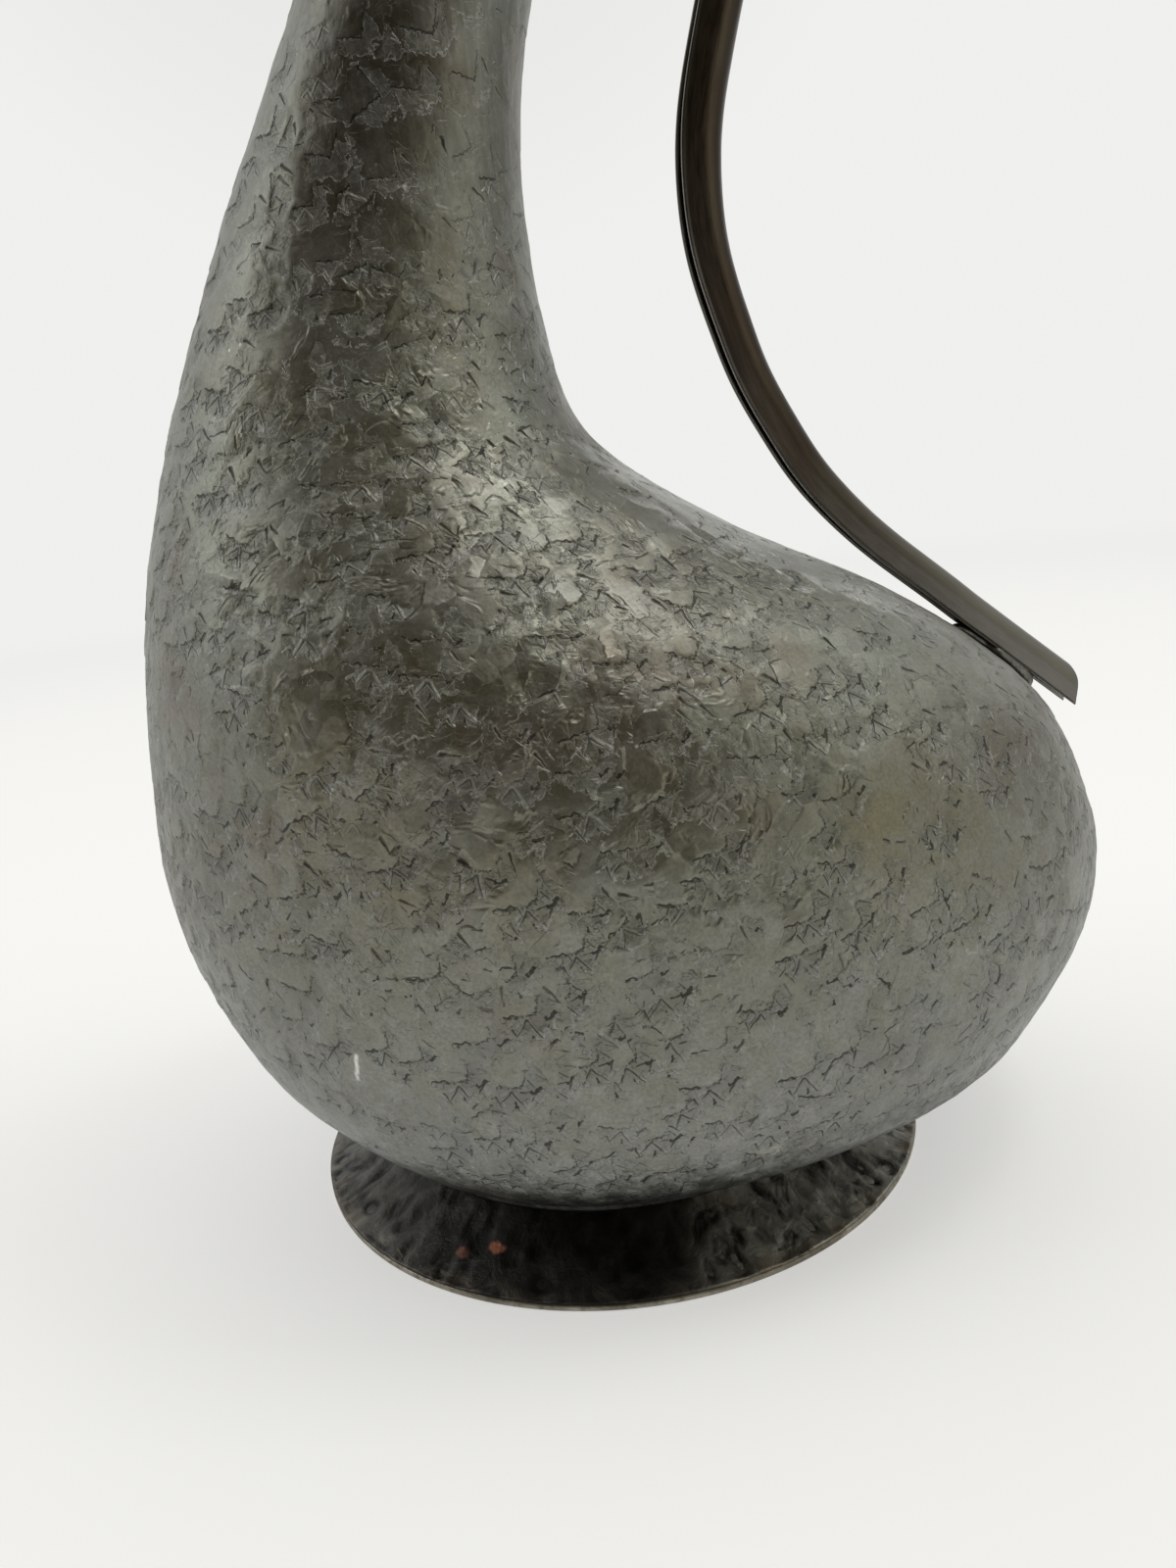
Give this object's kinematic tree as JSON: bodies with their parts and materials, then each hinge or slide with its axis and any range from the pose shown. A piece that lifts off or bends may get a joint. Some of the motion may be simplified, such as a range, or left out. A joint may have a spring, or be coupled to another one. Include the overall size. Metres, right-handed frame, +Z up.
{
  "type": "ewer",
  "caption": "Goose-shaped hammered copper ewer with a leaning neck, beaked mouth, flared foot and a swept channel handle, for pouring.",
  "frame": {"origin": "on the surface it stands on, under the middle of the ewer's length and width", "axes": "+Z up, +X from the pouring beak towards the tail and handle, +Y across the ewer, away from the picture's camera"},
  "size_m": [0.1926, 0.1508, 0.3019],
  "materials": {
    "hammered_copper": "hand-hammered copper with a dark grey-brown patina, satin",
    "blackened_copper": "coarsely hammered copper, blackened, with worn spots",
    "foot_edge": "edge rubbed paler than the foot",
    "handle_copper": "smooth drawn copper strip, dark brown patina with lengthwise streaks",
    "solder": "dull grey soft solder"
  },
  "bodies": {
    "root": {"body_shell": "hammered_copper", "base_disc": "hammered_copper", "rim_wire": "hammered_copper", "foot_ring": "blackened_copper", "foot_hem": "foot_edge", "handle": "handle_copper", "foot_solder": "solder", "tail_solder": "solder", "neck_solder": "solder"}
  },
  "joints": []
}
